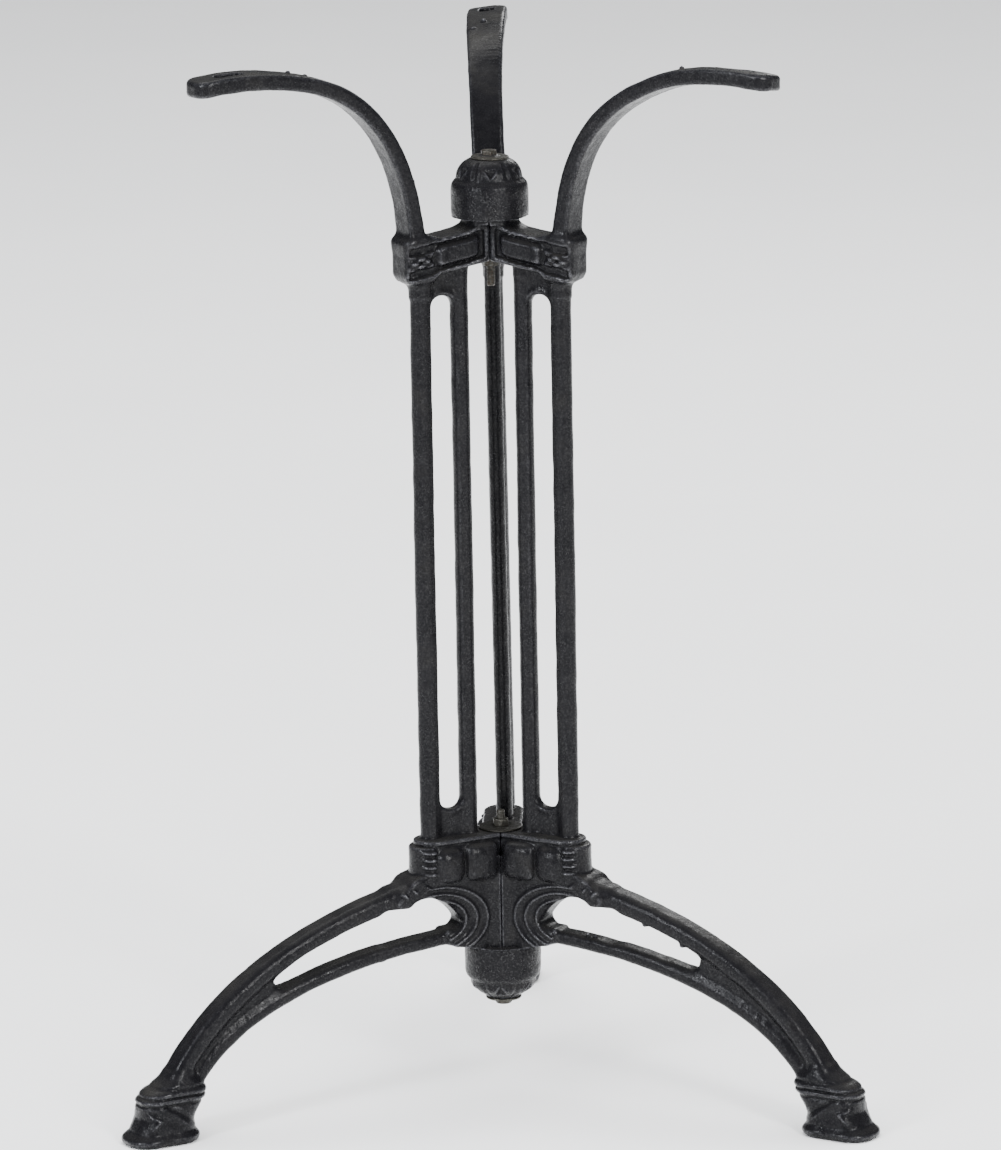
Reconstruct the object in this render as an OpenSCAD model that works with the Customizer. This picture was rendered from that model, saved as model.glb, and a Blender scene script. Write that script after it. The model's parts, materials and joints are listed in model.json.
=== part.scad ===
// Three-legged cast-iron pedestal base for a cafe table.
// Three equal castings stand back to back around one upright axis. A turned cap
// with a through bolt clamps them together above, and another one below.
// The origin is on that axis at floor level, +Z is up, and one casting runs along +Y.

/* [Overall] */
// Height from the floor to the pads that carry the table top
total_h = 720; // [660:5:760]
// Distance from the axis to the middle of each foot
foot_r = 265.5; // [260:0.5:268]

/* [Column] */
// Distance from the axis to the outer bar of each casting
outer_bar_r = 55; // [54:0.5:57]
// Diameter of the outer bar
outer_bar_d = 13; // [12:0.5:14]
// Distance from the axis to the inner bar of each casting
inner_bar_r = 24.5; // [23.5:0.5:26]
// Diameter of the inner bar
inner_bar_d = 11.5; // [10:0.5:12]
// Thickness of the web that joins the two bars above and below the slot
web_t = 8; // [6:0.5:10]

/* [Lower hub] */
// Height of the flat top of the lower hub
shelf_z = 181; // [178:1:184]
// Width of the lower hub across each casting
lower_hub_w = 30; // [28:1:32]
// Height of the bottom of the lower hub core
core_bottom_z = 83; // [82:0.5:84]
// How far the bosses stand out of the bead band
boss_out = 2; // [1:0.5:3]

/* [Leg] */
// Thickness of the upper strand of the leg
upper_strand_t = 14; // [12:0.5:15]
// Width of the upper strand of the leg
upper_strand_w = 20; // [18:1:22]
// Thickness of the lower strand of the leg
lower_strand_t = 10.5; // [9:0.5:12]
// Width of the lower strand of the leg
lower_strand_w = 15; // [13:1:17]

/* [Foot] */
// Length of the foot where it meets the floor
foot_l = 53; // [51:1:55]
// Width of the foot where it meets the floor
foot_w = 37; // [34:1:40]
// Width of the collar above the foot
foot_collar_w = 28; // [26:1:30]

/* [Upper hub] */
// Width of the upper hub rail across each casting
rail_w = 24; // [22:1:26]
// Depth of the upper hub rail where it meets the axis
rail_h = 27; // [26:1:29]
// Width of the knuckle block at the root of each arm
knuckle_w = 29; // [28:1:30]

/* [Arm] */
// Width of the arm where it leaves the knuckle
arm_root_w = 21; // [19:1:23]
// Width of the arm near its tip
arm_tip_w = 27; // [25:1:28]
// Thickness of the arm
arm_t = 10.5; // [10:0.5:12]
// Distance from the axis to the end of each arm
arm_reach = 221; // [218:1:222]
// Distance from the axis to the middle of the table screw slot
slot_r = 193; // [190:1:197]
// Length of the table screw slot
slot_l = 21; // [16:1:22]
// Width of the table screw slot
slot_w = 10; // [6:0.5:11]

/* [Caps] */
// Outer radius of each cap
cap_r = 26.2; // [25.5:0.1:27]
// Height of each cap
cap_h = 39; // [38:0.5:40]
// Radius of the three-part core that each cap closes over
core_r = 19.5; // [18:0.5:20]
// Depth of the cup in each cap
cup_depth = 18; // [16:0.5:19]

/* [Fasteners] */
// Outer diameter of the bolt thread
bolt_d = 6; // [5:0.5:6]
// Distance across the flats of the bolt heads and nuts
across_flats = 10; // [10:0.5:11]
// Height of a bolt head
head_h = 4; // [3.5:0.1:4.5]
// Thickness of a nut
nut_h = 5; // [4.5:0.1:5.5]
// Outer diameter of the two washers on the caps
cap_washer_d = 24.5; // [20:0.5:26]
// Outer diameter of the wide washer inside the lower hub
hub_washer_d = 30; // [26:0.5:32]
// Thickness of the washers
washer_t = 1.5; // [1:0.1:2]
// Diameter of the bolt passage through hubs, caps and washers
passage_d = 6.6; // [6.4:0.1:7]
// Length of thread that shows below the upper nut
thread_below_nut = 14; // [5:1:20]
// Length of thread that shows above the lower nut
thread_above_nut = 6; // [3:1:12]

/* [Hidden] */
$fn = 64;

// Directions of the three castings, seen from above
BACK = 90;
LEFT = 210;
RIGHT = -30;
HALF_SECTOR = 60;

// Heights of the upper parts, measured down from the pads
rail_top_z = total_h - 116;
rail_bottom_z = rail_top_z - rail_h;
rail_drop = 9;
knuckle_r = outer_bar_r - 0.5;
knuckle_top_z = rail_top_z - 1;
knuckle_bottom_z = rail_top_z - 43;
top_cap_z = rail_top_z + 2;
core_top_z = top_cap_z + cup_depth;
top_washer_z = top_cap_z + cap_h;

// Heights of the lower parts
bottom_cap_z = core_bottom_z + cup_depth;
bottom_washer_z = bottom_cap_z - cap_h;
band_top_z = shelf_z - 4;
band_bottom_z = shelf_z - 31;
hub_end_r = 67;
hub_round_r = lower_hub_w / 2;

// The long slot between the two bars
slot_inner_r = inner_bar_r + inner_bar_d / 2;
slot_outer_r = outer_bar_r - outer_bar_d / 2;
slot_half = (slot_outer_r - slot_inner_r) / 2;
slot_mid_r = (slot_outer_r + slot_inner_r) / 2;
slot_bottom_z = shelf_z + 26;
slot_top_z = rail_top_z - 53;

// Leg curves as pairs of radius and height
upper_strand = [[60, 149], [142, 132], [226, 96], [267, 24]];
lower_strand = [[45, 112], [117, 109], [216, 89], [248, 32]];
eye_r = 15;
eye_mid = [54, 123];

// Arm curves as pairs of radius and height below the pads
arm_rise = [[57, -121.5], [69.5, -54], [97, -18], [149, -8]];
arm_end = [[149, -8], [165, -5], [185, -1.8], [222, -9.5]];

// A point on the cubic curve through four control points
function cubic(p, t) =
    pow(1 - t, 3) * p[0]
    + 3 * pow(1 - t, 2) * t * p[1]
    + 3 * (1 - t) * t * t * p[2]
    + t * t * t * p[3];

// The unit vector square to the cubic curve, on its left
function square_to(p, t) =
    let (d = cubic(p, min(1, t + 0.01)) - cubic(p, max(0, t - 0.01)))
    [-d[1], d[0]] / norm(d);

function edge(p, off, n) = [for (i = [0:n]) cubic(p, i / n) + off * square_to(p, i / n)];

function backwards(list) = [for (i = [len(list) - 1:-1:0]) list[i]];

// A band of even thickness along a cubic curve
module ribbon(p, t, n = 14) {
    polygon(concat(edge(p, t / 2, n), backwards(edge(p, -t / 2, n))));
}

// A side outline in radius and height, given its width across the casting
module across(w) {
    rotate([90, 0, 0])
        translate([0, 0, -w / 2])
            linear_extrude(w)
                children();
}

module rounded_rect(l, w, r) {
    square([l - 2 * r, w], center = true);
    square([l, w - 2 * r], center = true);
    for (x = [-1, 1], y = [-1, 1])
        translate([x * (l / 2 - r), y * (w / 2 - r)])
            circle(r);
}

// The plan of one casting's hub: a bar from the axis with a round end
module hub_plan(w, end_r, round_r) {
    translate([0, -w / 2])
        square([end_r - round_r, w]);
    intersection() {
        translate([end_r - round_r, 0])
            circle(round_r);
        translate([end_r, 0])
            square([2 * round_r, w], center = true);
    }
}

module core(r, z, h) {
    translate([0, 0, z])
        cylinder(r = r, h = h);
}

// The third of all space that one casting may fill, bounded by its two mating planes
module third() {
    reach = 2 * foot_r;
    linear_extrude(total_h)
        polygon([
            [0, 0],
            [reach * cos(HALF_SECTOR), -reach * sin(HALF_SECTOR)],
            [reach, 0],
            [reach * cos(HALF_SECTOR), reach * sin(HALF_SECTOR)]
        ]);
}

module bars() {
    translate([outer_bar_r, 0, shelf_z - 10])
        cylinder(d = outer_bar_d, h = knuckle_bottom_z + 20 - shelf_z);
    translate([inner_bar_r, 0, shelf_z - 10])
        cylinder(d = inner_bar_d, h = rail_bottom_z + 20 - shelf_z);
    across(web_t)
        difference() {
            union() {
                translate([inner_bar_r, shelf_z - 5])
                    square([outer_bar_r - inner_bar_r, slot_bottom_z - shelf_z + 5]);
                translate([inner_bar_r, slot_top_z])
                    square([outer_bar_r - inner_bar_r, rail_bottom_z + 10 - slot_top_z]);
            }
            translate([slot_mid_r, slot_bottom_z])
                circle(slot_half);
            translate([slot_mid_r, slot_top_z])
                circle(slot_half);
        }
}

// Raised cushions and short flutes along both sides of the bead band
module bead_band() {
    band_mid_z = (band_top_z + band_bottom_z) / 2;
    corner_r = lower_hub_w / 2 / tan(HALF_SECTOR);
    bosses = [[corner_r + 12.5, 23], [corner_r + 36, 20]];
    for (b = bosses)
        translate([b[0], 0, band_mid_z])
            rotate([90, 0, 0])
                translate([0, 0, -lower_hub_w / 2 - boss_out + 1])
                    linear_extrude(lower_hub_w + 2 * boss_out - 2)
                        rounded_rect(b[1], 24, 6);
    for (i = [0:3])
        translate([corner_r + 47.5, 0, band_top_z - 5 - 5.6 * i])
            across(lower_hub_w + 1)
                translate([0, -1.5])
                    square([9, 3]);
}

// Curved flutes that follow the round inner end of the leg's eye
module flutes() {
    for (r = [19, 25.5, 32])
        across(lower_hub_w - 4 - (r - 19) / 4)
            intersection() {
                translate(eye_mid)
                    difference() {
                        circle(r + 1.6);
                        circle(r - 1.6);
                    }
                translate([20, 102])
                    square([eye_mid[0] - 20, band_bottom_z + 2 - 102]);
            }
}

module lower_hub() {
    translate([0, 0, band_top_z])
        linear_extrude(shelf_z - band_top_z)
            hub_plan(lower_hub_w, hub_end_r, hub_round_r);
    translate([0, 0, band_bottom_z])
        linear_extrude(band_top_z - band_bottom_z)
            hub_plan(lower_hub_w - 3, hub_end_r - 1, hub_round_r - 1.5);
    bead_band();
    across(lower_hub_w - 8)
        difference() {
            polygon([
                [12, 160], [60, 160], [70, 170], [75, 158], [87, 148],
                [82, 135], [56, 135], [56, 112], [60, 105], [56, 101.5], [12, 101.5]
            ]);
            translate(eye_mid)
                circle(eye_r);
        }
    flutes();
    core(core_r, core_bottom_z, band_top_z - core_bottom_z);
    core(cap_r - 2, bottom_cap_z + 0.5, 4);
}

module leg() {
    across(upper_strand_w)
        ribbon(upper_strand, upper_strand_t);
    across(lower_strand_w)
        ribbon(lower_strand, lower_strand_t);
    // thin web that closes the groove where the two strands run together
    across(lower_strand_w - 3)
        polygon([[187, 97], [226, 74], [255, 41], [245, 38], [216, 65]]);
    // three raised ribs on both sides of the root of the leg
    for (t = [0.10, 0.155, 0.21])
        translate([cubic(upper_strand, t)[0], 0, cubic(upper_strand, t)[1]])
            rotate([0, 22, 0])
                cube([3.5, upper_strand_w + 3, upper_strand_t - 1], center = true);
}

// Foot as the part common to its side, plan and end outlines
module foot() {
    inner_x = -foot_l / 2;
    outer_x = foot_l / 2;
    translate([foot_r, 0, 0])
        intersection() {
            across(foot_w)
                polygon([
                    [inner_x + 2, 0], [inner_x, 3], [inner_x, 9], [inner_x + 4, 20],
                    [inner_x + 4, 26], [inner_x + 0.5, 30], [inner_x - 2, 34],
                    [inner_x - 1.5, 41], [inner_x + 2, 44], [-4, 45], [3, 41],
                    [7, 37], [8.5, 33], [8, 28], [12, 20], [outer_x - 7, 14],
                    [outer_x, 6], [outer_x - 0.5, 2], [outer_x - 2.5, 0]
                ]);
            linear_extrude(60)
                translate([-1, 0])
                    rounded_rect(foot_l + 4, foot_w, foot_w / 2 - 0.5);
            rotate([90, 0, 90])
                translate([0, 0, -foot_l])
                    linear_extrude(2 * foot_l)
                        polygon([for (s = [-1, 1]) each foot_end(s)]);
        }
}

// Half of the foot's end outline, from the floor up on one side or down on the other
function foot_end(side) =
    let (
        half = foot_w / 2,
        collar = foot_collar_w / 2,
        rise = [
            [half - 1.5, 0], [half, 3], [half, 7], [half - 4, 18],
            [collar - 1.5, 28], [collar, 32], [collar, 43], [collar - 3, 50]
        ]
    )
    side > 0
        ? [for (p = backwards(rise)) p]
        : [for (p = rise) [-p[0], p[1]]];

// Sloping hub rail with a framed panel and a raised bar on both sides
module upper_hub() {
    corner_r = rail_w / 2 / tan(HALF_SECTOR);
    rail_end_r = knuckle_r - 8;
    panel_l = rail_end_r - corner_r - 6;
    slope = atan(rail_drop / rail_end_r);
    panel_mid = [(corner_r + rail_end_r) / 2, rail_top_z - rail_h / 2 - rail_drop / 2];
    difference() {
        intersection() {
            translate([0, 0, rail_bottom_z - 20])
                linear_extrude(rail_h + 20)
                    hub_plan(rail_w, knuckle_r, 2);
            across(rail_w)
                polygon([
                    [0, rail_top_z], [rail_end_r, rail_top_z - rail_drop],
                    [rail_end_r, rail_bottom_z - rail_drop], [0, rail_bottom_z]
                ]);
        }
        for (s = [-1, 1])
            translate([panel_mid[0], s * rail_w / 2, panel_mid[1]])
                rotate([0, slope, 0])
                    cube([panel_l, 4, rail_h - 9], center = true);
    }
    translate([panel_mid[0], 0, panel_mid[1]])
        rotate([0, slope, 0])
            across(rail_w - 1)
                rounded_rect(panel_l - 6, rail_h - 16, 4);
    core(core_r, rail_bottom_z + 6, core_top_z - rail_bottom_z - 6);
}

// Block at the root of the arm, with a lip below and a swelling above
module knuckle() {
    height = knuckle_top_z - knuckle_bottom_z;
    translate([knuckle_r, 0, knuckle_bottom_z]) {
        translate([0, 0, 5])
            linear_extrude(height - 10)
                rounded_rect(knuckle_w - 4, knuckle_w - 3, 6);
        translate([0, 0, 2])
            linear_extrude(8)
                rounded_rect(knuckle_w - 1, knuckle_w, 7);
        linear_extrude(height)
            rounded_rect(knuckle_w - 9, knuckle_w - 7, 6);
        translate([1, 0, height - 12])
            linear_extrude(8)
                rounded_rect(knuckle_w, knuckle_w, 7);
    }
    // crossed ribs on both sides of the block
    for (a = [-35, 35])
        translate([knuckle_r, 0, knuckle_bottom_z + height / 2])
            rotate([0, a, 0])
                cube([knuckle_w - 4, knuckle_w, 4], center = true);
}

// Arm as the part common to its side outline and its plan, with the screw slot.
// The plan stops at the top height, which leaves a flat pad on the crest of the arm.
module arm() {
    difference() {
        intersection() {
            translate([0, 0, total_h])
                across(arm_tip_w) {
                    ribbon(arm_rise, arm_t);
                    ribbon(arm_end, arm_t, 8);
                }
            translate([0, 0, total_h - 200])
                linear_extrude(200)
                    arm_plan();
        }
        translate([slot_r, 0, total_h - 30])
            linear_extrude(40)
                rounded_rect(slot_l, slot_w, slot_w / 2 - 0.1);
    }
}

module arm_plan() {
    polygon([
        [40, -arm_root_w / 2], [90, -arm_root_w / 2], [arm_reach - 14, -arm_tip_w / 2],
        [arm_reach - 5, -arm_tip_w / 2 + 2], [arm_reach, -arm_tip_w / 2 + 7],
        [arm_reach, arm_tip_w / 2 - 7], [arm_reach - 5, arm_tip_w / 2 - 2],
        [arm_reach - 14, arm_tip_w / 2], [90, arm_root_w / 2], [40, arm_root_w / 2]
    ]);
}

// One complete casting, turned to its place round the axis
module casting(direction) {
    rotate([0, 0, direction])
        difference() {
            union() {
                intersection() {
                    union() {
                        lower_hub();
                        upper_hub();
                    }
                    third();
                }
                bars();
                leg();
                foot();
                knuckle();
                arm();
            }
            translate([0, 0, core_bottom_z - 1])
                cylinder(d = passage_d, h = core_top_z - core_bottom_z + 2);
        }
}

// Cap standing on z = 0: a band with a fluted dome above and a cup below
module cap() {
    band_h = 25;
    difference() {
        rotate_extrude()
            polygon([
                [core_r + 0.6, 0], [cap_r - 1.6, 0], [cap_r, 2.5], [cap_r, band_h - 3.5],
                [cap_r - 3, band_h - 0.5], [cap_r - 4.2, band_h], [cap_r - 4.6, band_h + 4],
                [cap_r - 7, cap_h - 6], [cap_r - 11, cap_h - 1.5], [cap_r - 13.5, cap_h],
                [passage_d / 2, cap_h], [passage_d / 2, cup_depth], [core_r + 0.6, cup_depth]
            ]);
        for (i = [0:5])
            rotate([0, 0, 60 * i])
                translate([cap_r - 4, 0, band_h + 2.5])
                    rotate([0, -38, 0])
                        cylinder(d1 = 5, d2 = 1, h = 16);
    }
}

module washer(d) {
    difference() {
        cylinder(d = d, h = washer_t);
        translate([0, 0, -1])
            cylinder(d = passage_d, h = washer_t + 2);
    }
}

module hexagon(h) {
    cylinder(d = across_flats / cos(30), h = h, $fn = 6);
}

// Bolt with the underside of its head on z = 0 and its shank downwards
module bolt(length) {
    hexagon(head_h);
    translate([0, 0, -length])
        cylinder(d = bolt_d, h = length + 1);
}

module nut() {
    difference() {
        hexagon(nut_h);
        translate([0, 0, -1])
            cylinder(d = bolt_d + 0.1, h = nut_h + 2);
    }
}

module casting_back() {
    color([0.09, 0.09, 0.10]) casting(BACK);
}

module casting_left() {
    color([0.11, 0.11, 0.12]) casting(LEFT);
}

module casting_right() {
    color([0.13, 0.13, 0.14]) casting(RIGHT);
}

module top_cap() {
    color([0.15, 0.15, 0.16])
        translate([0, 0, top_cap_z])
            cap();
}

module top_washer() {
    color([0.30, 0.29, 0.25])
        translate([0, 0, top_washer_z])
            washer(cap_washer_d);
}

module top_bolt() {
    shank = top_washer_z + washer_t - rail_bottom_z + nut_h + thread_below_nut;
    color([0.33, 0.31, 0.27])
        translate([0, 0, top_washer_z + washer_t])
            bolt(shank);
}

module top_nut() {
    color([0.36, 0.35, 0.32])
        translate([0, 0, rail_bottom_z - nut_h])
            nut();
}

module bottom_cap() {
    color([0.15, 0.15, 0.16])
        translate([0, 0, bottom_cap_z])
            mirror([0, 0, 1])
                cap();
}

module bottom_washer() {
    color([0.30, 0.29, 0.25])
        translate([0, 0, bottom_washer_z - washer_t])
            washer(cap_washer_d);
}

module bottom_bolt() {
    shank = shelf_z + washer_t + nut_h + thread_above_nut - bottom_washer_z + washer_t;
    color([0.33, 0.31, 0.27])
        translate([0, 0, bottom_washer_z - washer_t])
            rotate([180, 0, 30])
                bolt(shank);
}

module hub_washer() {
    color([0.28, 0.27, 0.24])
        translate([0, 0, shelf_z])
            washer(hub_washer_d);
}

module bottom_nut() {
    color([0.36, 0.35, 0.32])
        translate([0, 0, shelf_z + washer_t])
            nut();
}

casting_back();
casting_left();
casting_right();
top_cap();
top_bolt();
top_washer();
top_nut();
bottom_cap();
bottom_bolt();
bottom_washer();
hub_washer();
bottom_nut();
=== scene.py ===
"""Looks of a three-legged cast-iron table base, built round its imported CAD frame.

The three castings and the two caps are modelled as signed distance fields, in
millimetres, and meshed. The bolts, nuts and washers are turned shapes. Radii run
out from the upright axis, y across a casting and z up from the floor.
"""

import json
import math

import bpy
import numpy as np
import openvdb
from mathutils import Matrix, Vector


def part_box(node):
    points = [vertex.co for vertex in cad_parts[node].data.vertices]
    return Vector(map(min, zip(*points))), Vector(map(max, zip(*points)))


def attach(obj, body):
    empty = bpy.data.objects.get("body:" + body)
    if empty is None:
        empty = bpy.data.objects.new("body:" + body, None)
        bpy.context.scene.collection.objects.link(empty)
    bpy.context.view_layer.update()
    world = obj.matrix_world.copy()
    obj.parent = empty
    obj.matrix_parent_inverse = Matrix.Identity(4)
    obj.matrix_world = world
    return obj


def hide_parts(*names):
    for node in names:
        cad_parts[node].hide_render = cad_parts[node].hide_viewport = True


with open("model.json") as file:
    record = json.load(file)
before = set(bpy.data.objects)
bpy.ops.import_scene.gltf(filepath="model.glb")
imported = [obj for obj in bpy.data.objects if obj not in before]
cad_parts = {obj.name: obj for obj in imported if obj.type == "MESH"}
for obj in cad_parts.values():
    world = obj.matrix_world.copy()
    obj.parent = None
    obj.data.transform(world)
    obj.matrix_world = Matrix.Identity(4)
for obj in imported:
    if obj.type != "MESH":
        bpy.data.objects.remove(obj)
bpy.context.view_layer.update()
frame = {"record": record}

MM = 0.001


# ---------------------------------------------------------------- places from the frame

def mount(name):
    """Radius from the axis and height of a mount, in millimetres"""
    found = [m for m in frame["record"]["mounts"] if m["name"] == name][0]
    x, y, z = found["pos_m"]
    return math.hypot(x, y) / MM, z / MM


def low(node):
    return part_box(node)[0].z / MM


def high(node):
    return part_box(node)[1].z / MM


def width(node):
    return (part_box(node)[1].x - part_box(node)[0].x) / MM


DIRECTIONS = {"casting_back": 90, "casting_left": 210, "casting_right": -30}

FOOT_R = mount("foot_back")[0]
SLOT_R = mount("screw_slot_back")[0]
TOTAL_H = mount("pad_back")[1]
SHELF_Z = low("hub_washer")
RAIL_Z = high("top_nut")
TOP_CAP_Z = low("top_cap")
BOTTOM_CAP_Z = high("bottom_cap")
CAP_R = width("top_cap") / 2
CAP_H = high("top_cap") - TOP_CAP_Z
CAP_WASHER_R = width("top_washer") / 2
HUB_WASHER_R = width("hub_washer") / 2

# Sizes of the castings that the frame does not hold. They lie near the CAD's, and some were
# set against the photograph: the web is 7 mm here and 8 mm in the CAD
BAR_OUT_R, BAR_OUT_D = 55.0, 13.0
BAR_IN_R, BAR_IN_D = 24.5, 11.5
WEB_T = 7.0
CORE_R = 19.5
CUP_DEPTH = 18.0
PASSAGE_R = 3.3
HUB_HALF = 15.0
RAIL_HALF = 12.0
BAND_TOP = SHELF_Z - 4
BAND_LOW = SHELF_Z - 31
HUB_FOOT = BOTTOM_CAP_Z + 2.5
SLOT_LOW = SHELF_Z + 27.5
SLOT_HIGH = RAIL_Z - 30


# ---------------------------------------------------------------- distance field tools

def planes(stretches):
    """Grid planes from (start, spacing) stretches, the last one giving only its end"""
    out = []
    for (a, spacing), (b, _) in zip(stretches, stretches[1:]):
        n = max(1, round((b - a) / spacing))
        out += [a + (b - a) * i / n for i in range(n)]
    return np.array(out + [stretches[-1][0]], np.float32)


def cubic(points, n=40):
    """Points along the cubic curve through four control points"""
    t = np.linspace(0, 1, n)[:, None]
    a, b, c, d = (np.array(p, float) for p in points)
    return (1 - t) ** 3 * a + 3 * (1 - t) ** 2 * t * b + 3 * (1 - t) * t * t * c + t ** 3 * d


def smooth_outline(points, n=6):
    """A closed outline that passes smoothly through the points"""
    p = np.array(points, float)
    out = []
    for i in range(len(p)):
        a, b, c, d = p[i - 1], p[i], p[(i + 1) % len(p)], p[(i + 2) % len(p)]
        for s in np.arange(n) / n:
            out.append(0.5 * (2 * b + (c - a) * s + (2 * a - 5 * b + 4 * c - d) * s * s
                              + (3 * b - a - 3 * c + d) * s ** 3))
    return np.array(out)


def polygon(outline, u, v):
    """Signed distance to a closed outline, below 0 inside"""
    best = np.full(np.broadcast(u, v).shape, 1e9)
    inside = np.zeros(best.shape, bool)
    for (ax, ay), (bx, by) in zip(outline, np.roll(outline, -1, axis=0)):
        ex, ey = bx - ax, by - ay
        wx, wy = u - ax, v - ay
        s = np.clip((wx * ex + wy * ey) / (ex * ex + ey * ey + 1e-12), 0, 1)
        best = np.minimum(best, (wx - s * ex) ** 2 + (wy - s * ey) ** 2)
        if ay != by:
            inside ^= ((ay > v) != (by > v)) & (u < ax + (v - ay) * ex / ey)
    return np.where(inside, -1, 1) * np.sqrt(best)


def along(curve, u, v):
    """Distance to a curve, side of it, and how far along it the nearest point is, 0 to 1"""
    best = np.full(np.broadcast(u, v).shape, 1e18)
    side, share = np.zeros(best.shape), np.zeros(best.shape)
    n = len(curve) - 1
    for i in range(n):
        (ax, ay), (bx, by) = curve[i], curve[i + 1]
        ex, ey = bx - ax, by - ay
        wx, wy = u - ax, v - ay
        s = np.clip((wx * ex + wy * ey) / (ex * ex + ey * ey), 0, 1)
        d = (wx - s * ex) ** 2 + (wy - s * ey) ** 2
        near = d < best
        best = np.where(near, d, best)
        side = np.where(near, np.sign(ex * wy - ey * wx), side)
        share = np.where(near, (i + s) / n, share)
    return np.sqrt(best), side, share


def round_box(u, v, half_u, half_v, corner):
    """Signed distance to a rounded rectangle centred on 0"""
    a = np.abs(u) - half_u + corner
    b = np.abs(v) - half_v + corner
    return np.minimum(np.maximum(a, b), 0) + np.hypot(np.maximum(a, 0), np.maximum(b, 0)) - corner


def thicken(flat, across, corner):
    """A solid from the distance to its side outline and the distance to its two side faces"""
    a, b = flat + corner, across + corner
    return np.minimum(np.maximum(a, b), 0) + np.hypot(np.maximum(a, 0), np.maximum(b, 0)) - corner


def join(a, b, k):
    """Union of two fields with a fillet of about k"""
    h = np.maximum(k - np.abs(a - b), 0) / k
    return np.minimum(a, b) - h * h * k / 4


def cut(a, b, k):
    """Field a without the solid b, with its new edges eased by about k"""
    h = np.maximum(k - np.abs(a + b), 0) / k
    return np.maximum(a, -b) + h * h * k / 4


def step(x, a, b):
    """0 below a, 1 above b, smooth between"""
    t = np.clip((x - a) / (b - a), 0, 1)
    return t * t * (3 - 2 * t)


def bump(x, middle, half):
    """A smooth ridge, 1 in its middle and 0 half away from it"""
    t = np.clip(np.abs(x - middle) / half, 0, 1)
    return (1 - t * t) ** 2


def lattice_noise(seed, cell, axes):
    """Smooth seeded random field over a grid, with one value per cell of that many millimetres"""
    rng = np.random.default_rng(seed)
    scaled = [(a - a[0]) / cell for a in axes]
    field = rng.uniform(-1, 1, [int(a[-1]) + 2 for a in scaled]).astype(np.float32)
    for k, a in enumerate(scaled):
        first = a.astype(int)
        f = (a - first).astype(np.float32)
        f = f * f * (3 - 2 * f)
        shape = [1, 1, 1]
        shape[k] = len(a)
        f = f.reshape(shape)
        field = np.take(field, first, axis=k) * (1 - f) + np.take(field, first + 1, axis=k) * f
    return field


def ridge(u, v, a, b, half):
    """A smooth ridge along the straight line from a to b, 1 on it and 0 half away from it"""
    far = along(np.array([a, b], float), u, v)[0]
    return bump(far, 0, half)


class Field:
    """A signed distance field over a grid, built up window by window"""

    def __init__(self, axes, empty=20.0):
        self.axes = axes
        self.d = np.full([len(a) for a in axes], empty, np.float32)

    def window(self, r=(-1e9, 1e9), z=(-1e9, 1e9)):
        """Slices of the grid and the coordinates of its planes there"""
        a, y, c = self.axes
        i = slice(*np.searchsorted(a, r))
        k = slice(*np.searchsorted(c, z))
        return (i, slice(None), k), a[i, None, None], y[None, :, None], c[None, None, k]

    def add(self, where, d, k):
        """Joins a solid to the field with a fillet of about k"""
        self.d[where] = join(self.d[where], d, k)

    def take(self, where, d, k):
        """Cuts a solid out of the field with edges eased by about k"""
        self.d[where] = cut(self.d[where], d, k)

    def raise_by(self, where, h):
        """Lifts the surface by h"""
        self.d[where] -= h

    def copy(self):
        other = Field(self.axes)
        other.d = self.d.copy()
        return other


def surface(name, field):
    """A mesh of the field's surface, in metres"""
    grid = openvdb.FloatGrid(float(field.d.max()))
    grid.copyFromArray(field.d)
    points, quads = grid.convertToQuads(isovalue=0.0)
    co = np.stack([np.interp(points[:, k], np.arange(len(a)), a) for k, a in enumerate(field.axes)], 1)
    co, quads = main_part(co, quads.astype(np.int32))
    return mesh_from(name, co * MM, quads)


def main_part(co, quads):
    """The largest connected part of a surface, without the specks that noise can leave"""
    label = np.arange(len(co))
    settled = False
    while not settled:
        lowest = label.copy()
        np.minimum.at(lowest, quads.ravel(), np.repeat(label[quads].min(axis=1), 4))
        lowest = lowest[lowest]
        settled = bool((lowest == label).all())
        label = lowest
    kept = label == np.bincount(label).argmax()
    renumbered = np.cumsum(kept) - 1
    quads = quads[kept[quads[:, 0]]]
    return co[kept], renumbered[quads].astype(np.int32)


def mesh_from(name, co, faces):
    """A smooth-shaded mesh from an array of points and one of faces with equal corner counts"""
    mesh = bpy.data.meshes.new(name)
    corners = faces.shape[1]
    mesh.vertices.add(len(co))
    mesh.vertices.foreach_set("co", np.asarray(co, np.float32).ravel())
    mesh.loops.add(faces.size)
    mesh.loops.foreach_set("vertex_index", faces.ravel())
    mesh.polygons.add(len(faces))
    mesh.polygons.foreach_set("loop_start", np.arange(0, faces.size, corners, dtype=np.int32))
    mesh.polygons.foreach_set("use_smooth", np.ones(len(faces), bool))
    mesh.update(calc_edges=True)
    mesh.validate()
    return mesh


# ---------------------------------------------------------------- lower hub and leg

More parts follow.
